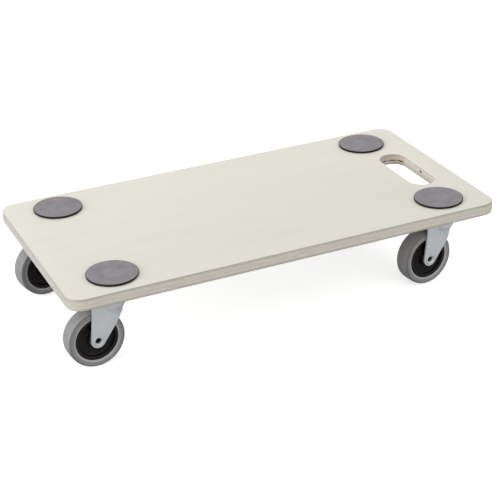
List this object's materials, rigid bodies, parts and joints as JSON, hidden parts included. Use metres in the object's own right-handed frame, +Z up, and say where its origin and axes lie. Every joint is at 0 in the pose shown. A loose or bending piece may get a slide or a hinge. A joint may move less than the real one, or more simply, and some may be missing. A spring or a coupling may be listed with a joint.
{
  "type": "furniture dolly",
  "caption": "Low plywood dolly with a hand hole, rubber grip pads on top and swivel casters below, for rolling furniture and boxes.",
  "frame": {"origin": "on the floor, under the middle of the board", "axes": "+X along the board's length towards the hand hole, +Y across the board, +Z up"},
  "size_m": [0.59, 0.3, 0.117],
  "materials": {
    "birch_plywood": "clear matt lacquer on birch veneer",
    "pad_rubber": "matt moulded rubber",
    "zinc_plate": "bright zinc plated pressed steel",
    "zinc_fork": "bluish zinc plated pressed steel",
    "screw_zinc": "zinc plated",
    "rivet_steel": "zinc plated",
    "ball_steel": "greased hardened balls",
    "rim_plastic": "moulded black polypropylene",
    "grey_rubber": "moulded non-marking grey rubber"
  },
  "bodies": {
    "board": {"deck_board": "birch_plywood", "grip_pad_front_left": "pad_rubber", "grip_pad_front_right": "pad_rubber", "grip_pad_rear_left": "pad_rubber", "grip_pad_rear_right": "pad_rubber", "plate_front_left": "zinc_plate", "plate_screws_front_left": "screw_zinc", "king_pin_front_left": "rivet_steel", "upper_balls_front_left": "ball_steel", "lower_balls_front_left": "ball_steel", "plate_front_right": "zinc_plate", "plate_screws_front_right": "screw_zinc", "king_pin_front_right": "rivet_steel", "upper_balls_front_right": "ball_steel", "lower_balls_front_right": "ball_steel", "plate_rear_left": "zinc_plate", "plate_screws_rear_left": "screw_zinc", "king_pin_rear_left": "rivet_steel", "upper_balls_rear_left": "ball_steel", "lower_balls_rear_left": "ball_steel", "plate_rear_right": "zinc_plate", "plate_screws_rear_right": "screw_zinc", "king_pin_rear_right": "rivet_steel", "upper_balls_rear_right": "ball_steel", "lower_balls_rear_right": "ball_steel"},
    "swivel_front_left": {"fork_front_left": "zinc_fork", "axle_rivet_front_left": "rivet_steel", "axle_sleeve_front_left": "rivet_steel"},
    "wheel_front_left": {"wheel_rim_front_left": "rim_plastic", "tyre_front_left": "grey_rubber"},
    "swivel_front_right": {"fork_front_right": "zinc_fork", "axle_rivet_front_right": "rivet_steel", "axle_sleeve_front_right": "rivet_steel"},
    "wheel_front_right": {"wheel_rim_front_right": "rim_plastic", "tyre_front_right": "grey_rubber"},
    "swivel_rear_left": {"fork_rear_left": "zinc_fork", "axle_rivet_rear_left": "rivet_steel", "axle_sleeve_rear_left": "rivet_steel"},
    "wheel_rear_left": {"wheel_rim_rear_left": "rim_plastic", "tyre_rear_left": "grey_rubber"},
    "swivel_rear_right": {"fork_rear_right": "zinc_fork", "axle_rivet_rear_right": "rivet_steel", "axle_sleeve_rear_right": "rivet_steel"},
    "wheel_rear_right": {"wheel_rim_rear_right": "rim_plastic", "tyre_rear_right": "grey_rubber"}
  },
  "joints": [
    {"name": "swivel_turn_front_left", "type": "hinge", "parent": "board", "child": "swivel_front_left", "pos_m": [0.2324, 0.1055, 0.0875], "axis": [0, 0, 1], "continuous": true},
    {"name": "wheel_spin_front_left", "type": "hinge", "parent": "swivel_front_left", "child": "wheel_front_left", "pos_m": [0.2082, 0.10167, 0.0375], "axis": [-0.1564, 0.9877, 0], "continuous": true},
    {"name": "swivel_turn_front_right", "type": "hinge", "parent": "board", "child": "swivel_front_right", "pos_m": [0.2324, -0.1055, 0.0875], "axis": [0, 0, 1], "continuous": true},
    {"name": "wheel_spin_front_right", "type": "hinge", "parent": "swivel_front_right", "child": "wheel_front_right", "pos_m": [0.2081, -0.10866, 0.0375], "axis": [-0.1288, 0.9917, 0], "continuous": true},
    {"name": "swivel_turn_rear_left", "type": "hinge", "parent": "board", "child": "swivel_rear_left", "pos_m": [-0.2324, 0.1055, 0.0875], "axis": [0, 0, 1], "continuous": true},
    {"name": "wheel_spin_rear_left", "type": "hinge", "parent": "swivel_rear_left", "child": "wheel_rear_left", "pos_m": [-0.25646, 0.10087, 0.0375], "axis": [-0.1891, 0.982, 0], "continuous": true},
    {"name": "swivel_turn_rear_right", "type": "hinge", "parent": "board", "child": "swivel_rear_right", "pos_m": [-0.2324, -0.1055, 0.0875], "axis": [0, 0, 1], "continuous": true},
    {"name": "wheel_spin_rear_right", "type": "hinge", "parent": "swivel_rear_right", "child": "wheel_rear_right", "pos_m": [-0.25683, -0.10738, 0.0375], "axis": [-0.0767, 0.9971, 0], "continuous": true}
  ]
}
